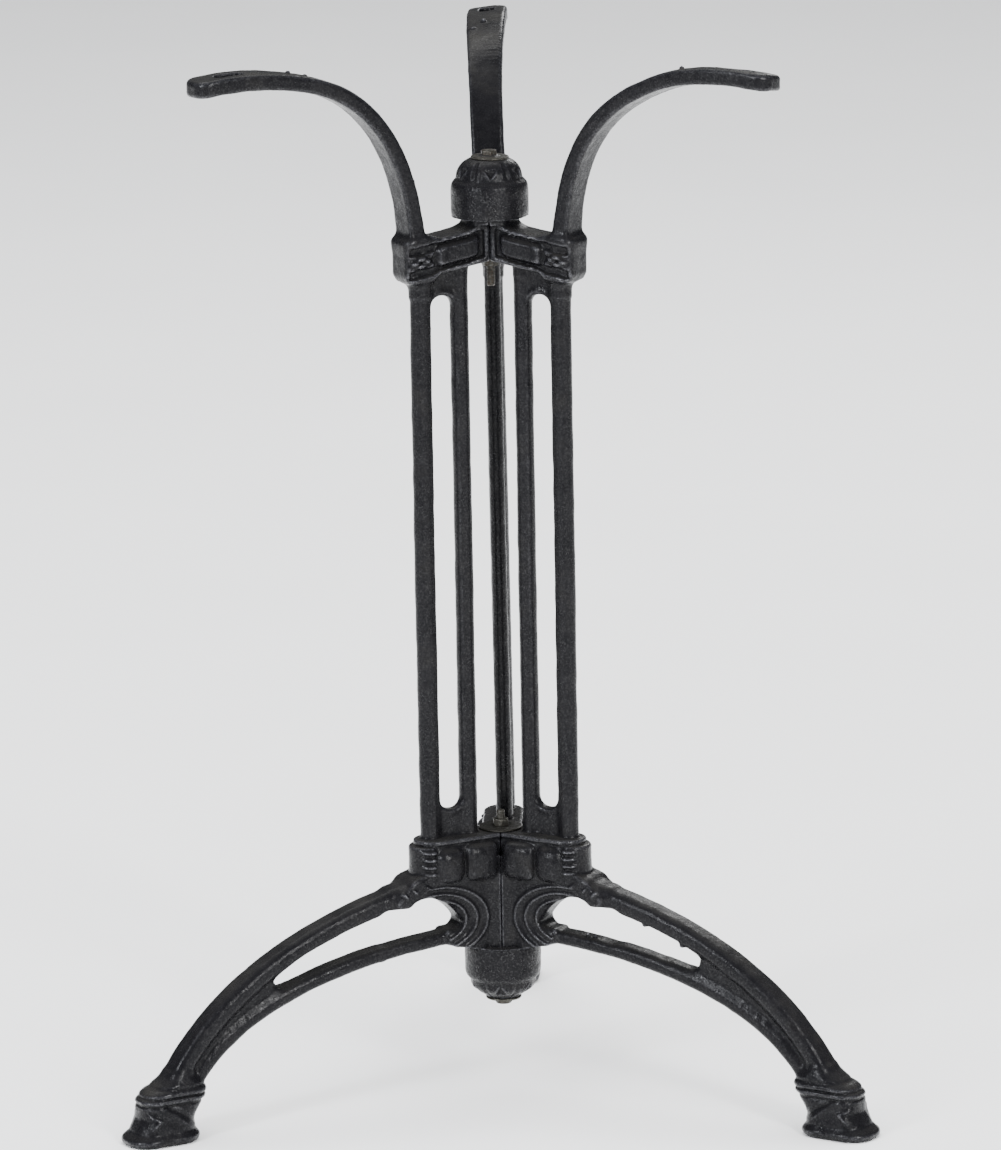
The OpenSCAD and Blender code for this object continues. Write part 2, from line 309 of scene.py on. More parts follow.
def bead_band(f):
    """Plate, band, cushions and stacked flutes of the lower hub"""
    w, r, y, z = f.window((-3, 84), (BAND_LOW - 12, SHELF_Z + 8))
    plan = np.hypot(np.maximum(r - 52.6, 0), y)
    plate = thicken(plan - HUB_HALF + 1.5, np.abs(z - SHELF_Z + 1.8) - 1.8, 1.75)
    f.add(w, plate, 0.8)
    middle = (BAND_TOP + BAND_LOW) / 2
    half_h = (BAND_TOP - BAND_LOW) / 2
    past = np.hypot(np.maximum(r - 54.8, 0), y)
    band = thicken(past - HUB_HALF + 2.0 * (1 - step(r, 56, 60)), np.abs(z - middle) - half_h, 2)
    flute = sum(bump(z, BAND_TOP - 3.4 - 5.0 * i, 1.9) for i in range(4))
    on_end = step(r, 56, 57.5) * (1 - step(r, 64.5, 67))
    fluted = on_end * (1 - step(z, BAND_TOP - 1.6, BAND_TOP - 0.2))
    band += fluted * (0.6 - 2.0 * flute)
    f.add(w, band, 1.6)
    corner = HUB_HALF / math.tan(math.radians(60))
    for mid, half, square in ((corner + 14.2, 13.6, 5.0), (corner + 37.8, 12.0, 3.0)):
        u = np.abs(r - mid) / half
        v = np.abs(z - middle + 0.3) / 13.8
        s = np.abs(y) / (HUB_HALF + 4.0)
        cushion = ((u ** square + v ** square + s ** 3.4) ** (1 / 3.8) - 1) * 11
        f.add(w, cushion, 0.9)


def hub_skirt(f):
    """Core and curved flutes between the bead band and the bottom of the hub"""
    w, r, y, z = f.window((-3, 90), (BOTTOM_CAP_Z - CUP_DEPTH - 4, BAND_LOW + 16))
    rz, zz = r[:, 0, :], z[:, 0, :]
    round_r = np.hypot(r, y)
    core = thicken(round_r - CORE_R, np.abs(z - 125) - 125 + BOTTOM_CAP_Z - CUP_DEPTH, 0.6)
    f.add(w, core, 1)
    # the plate between the core and the eye of the leg
    outline = smooth_outline([
        (10, HUB_FOOT), (36, HUB_FOOT), (44, HUB_FOOT + 2), (47, HUB_FOOT + 8), (58, 138),
        (66, 137), (80, 137), (86, 141), (83, 146), (77, 151), (70, 157), (40, 164), (10, 164)
    ])
    flat = polygon(outline, rz, zz)[:, None, :]
    ring = np.hypot((r - 57) / 1.55, z - 123.5)
    scallop = np.abs(np.sin(np.pi * (ring - 15) / 5))
    fade = step(ring, 12, 15) * (1 - step(ring, 26, 30)) * (1 - step(r, 60, 70))
    half_w = 9.3 + 0.22 * np.clip(ring - 13, 0, 14) + 1.9 * (1 - scallop) * fade
    plate = thicken(flat, np.abs(y) - half_w, 1.2)
    f.add(w, plate, 1.5)
    # the flare under the cushions
    flare = round_r - CORE_R - 7 * step(z, BAND_LOW - 9, BAND_LOW + 1) ** 1.6
    flare = np.maximum(flare, np.abs(z - BAND_LOW + 2) - 9)
    f.add(w, np.maximum(flare, np.abs(y) - HUB_HALF + 1), 3)


def eye(f):
    """Rounded inner end of the opening between the two strands of the leg"""
    w, r, y, z = f.window((28, 100), (96, 150))
    outline = smooth_outline([
        (35.6, 121), (38.6, 126.5), (44, 132.2), (51, 137.2), (59, 140.6), (66.5, 141.4), (72.5, 139.6),
        (77, 136.4), (84, 136), (96, 133.4), (96, 113), (76, 114), (62, 115.2), (47, 116.4), (39, 117.2)
    ])
    f.take(w, polygon(outline, r[:, 0, :], z[:, 0, :])[:, None, :] + 0 * y, 3.5)


UPPER_STRAND = [(60, 147), (143, 136.5), (229, 98), (262, 26)]
LOWER_STRAND = [(34, 110.8), (112, 110.2), (212, 88.6), (245, 31)]


def strands(f):
    """The two strands of the leg, and the collar with three ribs at its root"""
    w, r, y, z = f.window((28, 285), (14, 172))
    rz, zz = r[:, 0, :], z[:, 0, :]
    far, side, share = (a[:, None, :] for a in along(cubic(UPPER_STRAND, 70), rz, zz))
    upper_half = 10.0 + 0.8 * step(share, 0.75, 1.0)
    thick_half = 6.6 + 0.5 * (1 - step(share, 0.1, 0.4)) + 0.3 * step(share, 0.8, 1.0)
    crown = 0.5 * (np.abs(y) / 10) ** 2 * (side > 0)
    upper = thicken(far - thick_half + crown, np.abs(y) - upper_half, 5.6)
    f.add(w, upper, 3)
    far2, _, share2 = (a[:, None, :] for a in along(cubic(LOWER_STRAND, 70), rz, zz))
    lower_half = 8.2 + 1.2 * step(share2, 0.7, 1.0)
    lower = thicken(far2 - 5.3 - 0.4 * step(share2, 0.7, 1.0), np.abs(y) - lower_half, 4.8)
    f.add(w, lower, 3)
    # thicker root, with three raised ribs on its sides
    root = (1 - step(share, 0.105, 0.135)) * step(r, 60, 70) * (1 - step(far, 8, 12))
    f.raise_by(w, 1.5 * root)
    lines = [((88, 153), (80, 145)), ((82.5, 156), (73, 147.5)), ((77, 158.5), (63, 149.5))]
    ribs = sum(ridge(rz, zz, a, b, 1.7) for a, b in lines)[:, None, :]
    f.raise_by(w, 1.2 * ribs * step(np.abs(y), 4, 8) * (1 - step(far * side, 3.5, 6)))


def fork_web(f, spread):
    """Web where the strands run together, from where they come within the given spread"""
    w, r, y, z = f.window((130, 258), (30, 140))
    rz, zz = r[:, 0, :], z[:, 0, :]
    far, side, _ = along(cubic(UPPER_STRAND, 40), rz, zz)
    far2, side2, _ = along(cubic(LOWER_STRAND, 40), rz, zz)
    between = np.maximum((far + far2 - spread) * 0.8, np.maximum(far * side, -far2 * side2))
    between = np.maximum(between, r[:, 0, :] - 252)
    f.add(w, thicken(between[:, None, :], np.abs(y) - 5.6, 1.5), 4)


# ---------------------------------------------------------------- foot

FOOT_PROFILE = [
    # height, inner end, outer end, half width
    (-1, -25.4, 23.0, 16.6), (2, -26.8, 25.0, 18.2), (5, -26.4, 23.8, 18.2), (8, -25.2, 21.0, 17.2),
    (10, -24.6, 19.4, 16.6), (14, -24.2, 17.4, 15.8), (18, -25.0, 15.2, 15.2), (22, -27.4, 15.0, 14.8),
    (26, -30.2, 15.2, 14.6), (29, -32.0, 14.6, 14.6), (33, -33.6, 12.4, 14.8), (37, -33.2, 6.5, 14.2),
    (41, -30.4, 0.5, 13.2), (45, -26.4, -4.5, 11.6), (50, -23.0, -9.0, 10.0),
]


def foot(f):
    """Hoof with a double collar and a pointed leaf carved on each side"""
    w, r, y, z = f.window((FOOT_R - 38, FOOT_R + 36), (-3, 54))
    table = np.array(FOOT_PROFILE, float)
    # a rolling mean over the table keeps its corners soft
    heights = np.linspace(table[0, 0], table[-1, 0], 200)
    kernel = np.hanning(13) / np.hanning(13).sum()

    def profile(column):
        raw = np.interp(heights, table[:, 0], table[:, column])
        soft = np.convolve(np.pad(raw, 6, mode="edge"), kernel, mode="valid")
        return np.interp(z, heights, soft)

    inner, outer, half = profile(1), profile(2), profile(3)
    mid, reach = (inner + outer) / 2, (outer - inner) / 2
    u = r - FOOT_R - mid
    corner = np.minimum(half, reach) * 0.86
    solid = round_box(u, y, reach, half, corner)
    x = r - FOOT_R
    # two rolls of the collar
    rolls = bump(z, 34.6, 2.4) + bump(z, 29.8, 2.2)
    solid -= 0.7 * rolls
    groove = bump(z, 32.2, 1.2) + bump(z, 27.2, 1.6) + 0.8 * bump(z, 37.6, 1.4)
    solid += 1.0 * groove
    # pointed leaf whose tip looks inwards, from the toe
    sides = step(np.abs(y), 6, 10)
    leaf_half = 1.0 + 0.62 * np.clip(x - 4.5, 0, 12)
    leaf_mid = 18.0 - 0.22 * (x - 5)
    leaf = step(leaf_half - np.abs(z - leaf_mid), -1.0, 1.6) * step(x, 3.5, 6.0) * (1 - step(x, 9, 16))
    solid -= 1.9 * leaf * sides
    # crease that falls from the collar towards the heel, and a second leaf behind it
    crease = np.abs(z - 24.5 - 0.55 * (x + 4)) * 0.88
    solid += 1.0 * bump(crease, 0, 2.2) * step(-x, -4, 2) * sides
    heel = np.abs(z - 15 - 0.7 * (x + 12)) * 0.82
    solid -= 0.9 * bump(heel, 0, 2.6) * bump(x, -11, 11) * sides
    # raised lip round the base
    solid -= 0.9 * bump(z, 4.2, 3.2) - 0.5 * bump(z, 8.8, 1.6)
    flat = thicken(solid, np.abs(z - 24) - 24, 1.2)
    f.add(w, flat, 2.5)


# ---------------------------------------------------------------- column

def column(f):
    """Two round bars with a thin web above and below the long slot"""
    w, r, y, z = f.window((10, 72), (SHELF_Z - 14, RAIL_Z + 16))
    wander = 0.25 * np.sin(z / 47) + 0.15 * np.sin(z / 19 + 1)
    outer = np.hypot((r - BAR_OUT_R - wander * 0.5) * 0.97, y) - BAR_OUT_D / 2
    slim = bump(z, 390, 240)
    inner = np.hypot((r - BAR_IN_R + wander * 0.4 + 0.6 * slim) * 0.97, y) - BAR_IN_D / 2 + 0.5 * slim
    f.add(w, outer, 2)
    f.add(w, inner, 2)
    rz, zz = r[:, 0, :], z[:, 0, :]
    a = BAR_IN_R + BAR_IN_D / 2
    b = BAR_OUT_R - BAR_OUT_D / 2
    mid, half = (a + b) / 2, (b - a) / 2
    slot = round_box(rz - mid, zz - (SLOT_LOW + SLOT_HIGH) / 2, half + 0.6,
                     (SLOT_HIGH - SLOT_LOW) / 2 + half, half)
    web = thicken(np.maximum(-slot, np.abs(rz - mid) - half - 4)[:, None, :], np.abs(y) - WEB_T / 2, 1.5)
    f.add(w, web, 2.5)
    # rounded rim that follows both ends of the slot from bar to bar
    rim = np.hypot(np.maximum(slot, -8)[:, None, :] - 1.5, y * 0.62) - 2.3
    f.add(w, np.maximum(rim, np.abs(r - mid) - half - 2), 2)


# ---------------------------------------------------------------- upper hub and arm

RAIL_SLOPE = 0.13


def upper_hub(f):
    """Rail and root of the arm: a raised border round a raised bar and two crossed leaves"""
    w, r, y, z = f.window((-3, 84), (RAIL_Z - 24, TOTAL_H - 90))
    root = step(r, 43, 51)
    top = RAIL_Z + 25.0 - RAIL_SLOPE * r + 2.4 * (1 - step(np.hypot(r, y), 17, 27)) + 3.0 * root
    bottom = RAIL_Z + 0.6 - RAIL_SLOPE * r - 3.0 * root
    height = np.maximum(z - top, bottom - z) / math.hypot(1, RAIL_SLOPE)
    end = 69.9 + 0.7 * bump(z, RAIL_Z + 15, 8) - 2.6 * (1 - step(z, RAIL_Z - 11, RAIL_Z - 5))
    half_w = RAIL_HALF + 1.0 * root
    plan = thicken(r - end, np.abs(y) - half_w, 5.5)
    rail = thicken(height, plan, 2.2)
    v = z - (top + bottom) / 2
    # a recess inside the border, from beside the seam to the end of the arm's root
    recess = round_box(r - 39.8, v + 0.8 * root, 29.8, 9.6 + 1.4 * root, 2.0)
    relief = -3.0 * step(-recess, -0.3, 0.8)
    u = r - 31.0
    bar = round_box(u, v, 17.0, 7.8, 4.6)
    relief += 4.2 * step(-bar, -0.6, 3.4) + 0.7 * bump(u, 12.0, 5) * step(-bar, 0, 2.5)
    for lean in (0.40, -0.40):
        c, s = math.cos(lean), math.sin(lean)
        p, q = (r - 59.5) * c + (v + 0.8) * s, -(r - 59.5) * s + (v + 0.8) * c
        spindle = 4.6 * np.clip(1 - (p / 13.0) ** 2, 0, 1) - np.abs(q)
        relief += 2.2 * step(spindle, -0.2, 1.6) - 1.4 * bump(q, 0, 1.1) * bump(p, 0, 11)
    relief = relief * (1 - step(r, 65, 69))
    rail -= relief * step(np.abs(y), 6, 9)
    f.add(w, rail, 1.0)
    core = thicken(np.hypot(r, y) - CORE_R, np.abs(z - 600) - (TOP_CAP_Z + CUP_DEPTH - 600), 0.6)
    f.add(w, np.maximum(core, RAIL_Z + 25 - z), 2.5)


def necks(f):
    """Tapers from the rail down to the two bars of the column"""
    w, r, y, z = f.window((10, 76), (RAIL_Z - 30, RAIL_Z))
    bottom = RAIL_Z - 9.5
    neck = np.hypot(r - BAR_OUT_R, y) - BAR_OUT_D / 2 - 5.2 * step(z, bottom - 9, bottom + 2) ** 1.4
    f.add(w, np.maximum(np.maximum(neck, bottom - 12 - z), z - bottom - 3), 3)
    throat = np.hypot(r - BAR_IN_R, y) - BAR_IN_D / 2 - 1.2 * step(z, RAIL_Z - 8, RAIL_Z)
    f.add(w, np.maximum(np.maximum(throat, RAIL_Z - 10 - z), z - RAIL_Z - 1), 1.2)


ARM_RISE = [(60.2, -124), (65, -58), (94, -21.4), (149, -10.2)]
ARM_END = [(149, -10.2), (165, -7.2), (185, -4.4), (222, -9.5)]


def arm(f):
    """Arm with softly rounded edges, rising from the knuckle to its slotted end"""
    w, r, y, z = f.window((40, 236), (RAIL_Z + 10, TOTAL_H + 5))
    rz, zz = r[:, 0, :], z[:, 0, :] - TOTAL_H
    curve = np.concatenate([cubic(ARM_RISE, 50)[:-1], cubic(ARM_END, 20)])
    far, _, share = (a[:, None, :] for a in along(curve, rz, zz))
    half_t = 5.3 + 0.25 * step(share, 0.7, 1.0) + 0.8 * (1 - step(share, 0.0, 0.1))
    half_w = 11.2 + 2.5 * step(share, 0.3, 0.95)
    plan = round_box(r - 120, y, 101, half_w, 9.5)
    side = np.maximum(np.abs(y) - half_w, plan)
    solid = thicken(far - half_t, side, 2.6)
    solid = np.maximum(solid, z - TOTAL_H)
    f.add(w, solid, 5.5)
    slot = round_box(r - SLOT_R, y, 10.5, 5.0, 4.8) + 0 * z
    f.take(w, slot, 1.6)
    nub = np.sqrt((r - 150) ** 2 + (y - 1) ** 2 + (z - TOTAL_H + 3.5) ** 2) - 1.5
    f.add(w, nub, 2)


# ---------------------------------------------------------------- whole castings

CASTING_AXES = (
    planes([(-3, 1.0), (292, 0)]),
    planes([(-21, 1.0), (21, 0)]),
    planes([(-2, 1.0), (SLOT_LOW + 14, 3.5), (SLOT_HIGH - 14, 1.0), (TOTAL_H + 3, 0)]),
)


def plain_casting():
    """The shape that all three castings share"""
    f = Field(CASTING_AXES)
    bead_band(f)
    hub_skirt(f)
    strands(f)
    eye(f)
    foot(f)
    column(f)
    upper_hub(f)
    necks(f)
    arm(f)
    # the two planes on which each casting meets its neighbours, and the bolt passage
    w, r, y, z = f.window((-4, 60))
    mating = np.abs(y) * math.cos(math.radians(60)) - r * math.sin(math.radians(60))
    f.take(w, -(mating + MATING_GAP) + 0 * z, 1.0)
    f.take(w, np.hypot(r, y) - PASSAGE_R + 0 * z, 0.5)
    return f


ARM_SET = {
    # how each arm differs in the photograph: sag at the bend, fall to one edge, lean to one side
    "casting_back": (0.0, 0.14, 5.5),
    "casting_left": (-1.4, 0.0, 0.0),
    "casting_right": (2.4, 0.20, 0.0),
}
# sand-cast waviness and grain: height, and size of their cells
SAND_WAVE, WAVE_CELL = 0.22, 9.0
SAND_GRAIN, GRAIN_CELL = 0.10, 2.6
# the gap left beside each mating plane; the sand's waviness is larger and closes it in places
MATING_GAP = 0.10
# how far the back casting's bars stand askew at their lower ends
ASKEW = 2.3
# how near the strands of each leg come, in sum of distances, where the web begins
FORK_SPREAD = {"casting_back": 24.5, "casting_left": 23.6, "casting_right": 26.8}
FLASH = {
    # lumps of casting flash: radius, across, height, size
    "casting_right": [(71, -4, 115.4, 1.3), (76, -3, 114.6, 1.0), (146, -6, 117.5, 1.5),
                      (176, -4, 99.6, 1.9), (170, -4, 101, 1.3), (118, -8, 128.5, 1.2)],
    "casting_left": [(61.5, 7, 636, 1.3), (140, 6, 713.4, 1.3), (96, 5, 102.6, 1.2)],
    "casting_back": [(75, 6, 655, 1.6), (140, 8, 713.4, 1.5), (112, -6, 700, 1.4)],
}


def casting(name, shape, seed):
    """One casting with its own sand-cast waviness and flash, turned to its place"""
    f = shape.copy()
    fork_web(f, FORK_SPREAD[name])
    for r0, y0, z0, size in FLASH[name]:
        w, r, y, z = f.window((r0 - 8, r0 + 8), (z0 - 8, z0 + 8))
        lump = np.sqrt((r - r0) ** 2 + (y - y0) ** 2 + (z - z0) ** 2) - size
        f.add(w, lump, 2.5)
    f.d += SAND_WAVE * lattice_noise(seed, WAVE_CELL, f.axes)
    f.d += SAND_GRAIN * lattice_noise(seed + 1, GRAIN_CELL, f.axes)
    if name == "casting_back":
        add_ribs(f)
    mesh = surface(name + "_iron", f)
    set_arm(mesh, *ARM_SET[name])
    if name == "casting_back":
        skew_bars(mesh)
    settle(mesh)
    mesh.transform(Matrix.Rotation(math.radians(DIRECTIONS[name]), 4, "Z"))
    return mesh


def add_ribs(f):
    """Fine ripples across one half of the back arm"""
    w, r, y, z = f.window((80, 190), (TOTAL_H - 60, TOTAL_H + 2))
    ripple = np.sin(2 * np.pi * r / 2.9)
    f.raise_by(w, 0.22 * ripple * step(-y, 0, 2) * bump(r, 135, 50))


def points_of(mesh):
    """The mesh's points as rows of x, y, z in metres"""
    co = np.zeros(len(mesh.vertices) * 3, np.float32)
    mesh.vertices.foreach_get("co", co)
    return co.reshape(-1, 3)


def set_arm(mesh, sag, fall, lean):
    """Bends, twists and leans the arm a little, in millimetres"""
    co = points_of(mesh)
    r, y, z = (co / MM).T
    up = np.clip((z - RAIL_Z - 20) / (TOTAL_H - RAIL_Z - 20), 0, 1)
    co[:, 2] -= sag * MM * bump(r, 105, 50) * up
    co[:, 2] -= fall * MM * np.clip(y + 4, 0, 30) * up ** 3
    co[:, 1] += lean * MM * up ** 0.8
    mesh.vertices.foreach_set("co", co.ravel())


def skew_bars(mesh):
    """Stands the bars of the column a little askew at their lower ends"""
    co = points_of(mesh)
    z = co[:, 2] / MM
    askew = np.clip((RAIL_Z - z) / (RAIL_Z - SHELF_Z), 0, 1) * np.clip((z - SHELF_Z + 3) / 6, 0, 1)
    co[:, 1] -= ASKEW * MM * askew
    mesh.vertices.foreach_set("co", co.ravel())


def settle(mesh):
    """Flattens what reaches past the floor or above the pads"""
    co = points_of(mesh)
    co[:, 2] = np.clip(co[:, 2], 0, TOTAL_H * MM)
    mesh.vertices.foreach_set("co", co.ravel())
    mesh.update()


# ---------------------------------------------------------------- caps

CAP_SPACING = 0.65
CAP_WAVE, CAP_WAVE_CELL = 0.16, 6.0
CAP_GRAIN, CAP_GRAIN_CELL = 0.09, 1.7
# outlines of the two domes: how far inside the band's radius, how far below the tip
TOP_DOME = [(3.7, 12.6), (4.9, 7.9), (8.2, 3.2), (12.0, 0.6), (14.5, 0.0)]
BOTTOM_DOME = [(3.7, 12.6), (4.5, 8.6), (7.6, 5.2), (12.8, 1.8), (15.6, 0.0)]


def cap_mesh(name, seed, dome):
    """Turned band with a six-petalled dome above and a cup below, standing on z = 0"""
    edge = planes([(-CAP_R - 3, CAP_SPACING), (CAP_R + 3, 0)])
    f = Field((edge, edge, planes([(-3, CAP_SPACING), (CAP_H + 3, 0)])), 10)
    w, x, y, z = f.window()
    r = np.hypot(x, y)
    band_h = 25
    profile = smooth_outline([
        (0, 0), (CAP_R - 2.4, 0), (CAP_R - 0.5, 1.1), (CAP_R, 3.5), (CAP_R, 12), (CAP_R - 0.1, 19.4),
        (CAP_R - 0.8, 22.6), (CAP_R - 2.6, band_h - 0.2), (CAP_R - 3.6, band_h + 0.8)
    ] + [(CAP_R - inset, CAP_H - below) for inset, below in dome] + [(0, CAP_H)], 5)
    flat_r = np.linspace(0, CAP_R + 6, 120)
    flat_z = f.axes[2]
    table = polygon(profile, flat_r[:, None], flat_z[None, :])
    index = np.clip(r / flat_r[1], 0, len(flat_r) - 1.001)
    first = index.astype(int)[:, :, 0]
    share = (index[:, :, 0] - first)[:, :, None]
    body = table[first] * (1 - share) + table[first + 1] * share
    # six panels with creases between them, and a V cut low in the middle of each
    turn = np.arctan2(y, x)
    sector = np.abs((turn / (math.pi / 3)) % 1 - 0.5) * 2
    on_dome = step(z, band_h + 0.5, band_h + 4) * (1 - step(z, CAP_H - 3, CAP_H - 0.5))
    body += 0.9 * (1 - step(sector, 0.0, 0.22)) * on_dome
    body -= 0.2 * bump(sector, 0.28, 0.16) * on_dome
    off_middle = r * (1 - sector) * math.pi / 6
    notch = off_middle - 0.72 * (z - band_h - 2.4)
    fade = 1 - step(z, band_h + 5, band_h + 10)
    body += 2.4 * step(-notch, -0.2, 1.4) * fade
    body -= 0.4 * bump(notch, 0.9, 1.3) * on_dome * fade
    f.add(w, body, 0.1)
    f.take(w, np.maximum(r - CORE_R - 0.6, z - CUP_DEPTH), 0.8)
    f.take(w, r - PASSAGE_R + 0 * z, 0.4)
    wave = CAP_WAVE * lattice_noise(seed, CAP_WAVE_CELL, f.axes)
    f.d += wave + CAP_GRAIN * lattice_noise(seed + 1, CAP_GRAIN_CELL, f.axes)
    return surface(name + "_iron", f)


# ---------------------------------------------------------------- fasteners

def turned(name, profile, segments=72, apothem=None, corner=0.0):
    """A closed ring of revolution. apothem limits it to a hexagon whose corners lose a little"""
    p = np.array(profile, float)
    turn = np.linspace(0, 2 * np.pi, segments, endpoint=False)
    limit = np.full(segments, 1e9)
    if apothem:
        within = (turn + math.pi / 6) % (math.pi / 3) - math.pi / 6
        limit = apothem / np.cos(within)
        limit = np.minimum(limit, apothem / HEX_CORNER - corner)
    rings = []
    for radius, height in p:
        rad = np.minimum(radius, limit)
        rings.append(np.stack([rad * np.cos(turn), rad * np.sin(turn), np.full(segments, height)], 1))
    co = np.concatenate(rings)
    n = len(p)
    i, j = np.meshgrid(np.arange(n), np.arange(segments), indexing="ij")
    k, m = (i + 1) % n, (j + 1) % segments
    faces = np.stack([i * segments + j, i * segments + m, k * segments + m, k * segments + j], -1)
    return mesh_from(name, co * MM, faces.reshape(-1, 4).astype(np.int32))


FLATS = 10.0
# a hexagon's half width across flats, as a share of that across its corners
HEX_CORNER = math.cos(math.pi / 6)
HEAD_H = 4.0
NUT_H = 5.0
BOLT_R = 3.0
PITCH = 1.0
THREAD_DEPTH = 0.42
PLAIN_RINGS = 12
BOLT_SEGMENTS = 36
HEX_EASE = 0.15


def nut_profile(h):
    """Outline of a nut, from its bore round its chamfered outside and back"""
    out = FLATS / 2 / HEX_CORNER
    return [
        (BOLT_R + 0.1, 0.3), (BOLT_R + 0.5, 0), (FLATS / 2 - 0.3, 0), (FLATS / 2 + 0.2, 0.12),
        (out - 0.2, 0.45), (out + 0.2, 0.8), (out + 0.2, h / 2), (out + 0.2, h - 0.8), (out - 0.2, h - 0.45),
        (FLATS / 2 + 0.2, h - 0.12), (FLATS / 2 - 0.3, h), (BOLT_R + 0.5, h), (BOLT_R + 0.1, h - 0.3)
    ]


def washer_profile(radius, h, dish):
    """Outline of a washer with a slightly dished, round edge"""
    return [
        (PASSAGE_R, 0.2), (PASSAGE_R + 0.2, 0), (radius * 0.6, 0), (radius - 1.2, -dish),
        (radius - 0.35, -dish + 0.05), (radius, 0.35 - dish), (radius, h - 0.4 - dish),
        (radius - 0.35, h - dish), (radius - 1.2, h - dish * 0.6),
        (radius * 0.6, h), (PASSAGE_R + 0.3, h), (PASSAGE_R, h - 0.2)
    ]


def bolt_mesh(name, length, threaded):
    """Hexagon head on z = 0 with its shank downwards, threaded at its end

    The outline runs from the head's middle down to the shank's tip, so the faces wind inwards.
    """
    out = FLATS / 2 / HEX_CORNER
    profile = [(0.01, HEAD_H), (2.4, HEAD_H), (FLATS / 2 - 0.5, HEAD_H), (FLATS / 2 + 0.1, HEAD_H - 0.12),
               (out - 0.2, HEAD_H - 0.5), (out + 0.2, HEAD_H - 0.9), (out + 0.2, 0.5), (out - 0.1, 0.1),
               (FLATS / 2 - 0.4, 0), (BOLT_R + 0.02, 0), (BOLT_R, -0.4)]
    head_rings = len(profile)
    plain = np.linspace(-1, -(length - threaded), PLAIN_RINGS)
    coil = np.arange(-(length - threaded) - 0.125, -length + 0.9, -PITCH / 8)
    profile += [(BOLT_R, h) for h in plain] + [(BOLT_R, h) for h in coil]
    profile += [(BOLT_R - 0.7, -length), (0.01, -length)]
    mesh = turned(name, profile, BOLT_SEGMENTS, FLATS / 2, HEX_EASE)
    co = np.array([v.co for v in mesh.vertices]) / MM
    first = (head_rings + PLAIN_RINGS) * BOLT_SEGMENTS
    turn = np.arctan2(co[:, 1], co[:, 0])
    phase = (co[:, 2] / PITCH - turn / (2 * np.pi)) % 1
    depth = THREAD_DEPTH * (1 - np.abs(2 * phase - 1))
    last = len(co) - 2 * BOLT_SEGMENTS
    shrink = np.ones(len(co))
    shrink[first:last] = 1 - depth[first:last] / BOLT_R
    co[:, 0] *= shrink
    co[:, 1] *= shrink
    mesh.vertices.foreach_set("co", (co * MM).astype(np.float32).ravel())
    mesh.update()
    return mesh


# ---------------------------------------------------------------- materials

def nodes_of(name):
    """A new material with its tree and its shader"""
    material = bpy.data.materials.new(name)
    material.use_nodes = True
    tree = material.node_tree
    return material, tree, tree.nodes["Principled BSDF"]


def noise(tree, scale, detail, rough):
    """A noise texture in the object's own space, in features per metre"""
    space = tree.nodes.new("ShaderNodeTexCoord")
    node = tree.nodes.new("ShaderNodeTexNoise")
    node.inputs["Scale"].default_value = scale
    node.inputs["Detail"].default_value = detail
    node.inputs["Roughness"].default_value = rough
    tree.links.new(space.outputs["Object"], node.inputs["Vector"])
    return node.outputs["Fac"]


def ramp(tree, value, stops):
    """Colours or greys spread along a value"""
    node = tree.nodes.new("ShaderNodeValToRGB")
    elements = node.color_ramp.elements
    while len(elements) < len(stops):
        elements.new(0.5)
    for element, (position, colour) in zip(elements, stops):
        element.position = position
        element.color = (*colour, 1) if hasattr(colour, "__len__") else (colour, colour, colour, 1)
    tree.links.new(value, node.inputs["Fac"])
    return node.outputs["Color"]


def mix(tree, share, a, b, kind="MIX"):
    """Colour a blended towards b by a share"""
    node = tree.nodes.new("ShaderNodeMix")
    node.data_type = "RGBA"
    node.blend_type = kind
    for socket, value in ((node.inputs[0], share), (node.inputs[6], a), (node.inputs[7], b)):
        if isinstance(value, bpy.types.NodeSocket):
            tree.links.new(value, socket)
        elif hasattr(value, "__len__"):
            socket.default_value = (*value, 1)
        else:
            socket.default_value = value
    return node.outputs[2]


def math_node(tree, operation, a, b):
    """One operation on two values or sockets"""
    node = tree.nodes.new("ShaderNodeMath")
    node.operation = operation
    for socket, value in zip(node.inputs, (a, b)):
        if isinstance(value, bpy.types.NodeSocket):
            tree.links.new(value, socket)
        else:
            socket.default_value = value
    return node.outputs[0]


def add_bump(tree, shader, layers):
    """Chains bump nodes, each with a height, a strength and a distance in metres"""
    normal = None
    for height, strength, distance in layers:
        node = tree.nodes.new("ShaderNodeBump")
        node.inputs["Strength"].default_value = strength
        node.inputs["Distance"].default_value = distance
        tree.links.new(height, node.inputs["Height"])
        if normal:
            tree.links.new(normal, node.inputs["Normal"])
        normal = node.outputs["Normal"]
    tree.links.new(normal, shader.inputs["Normal"])


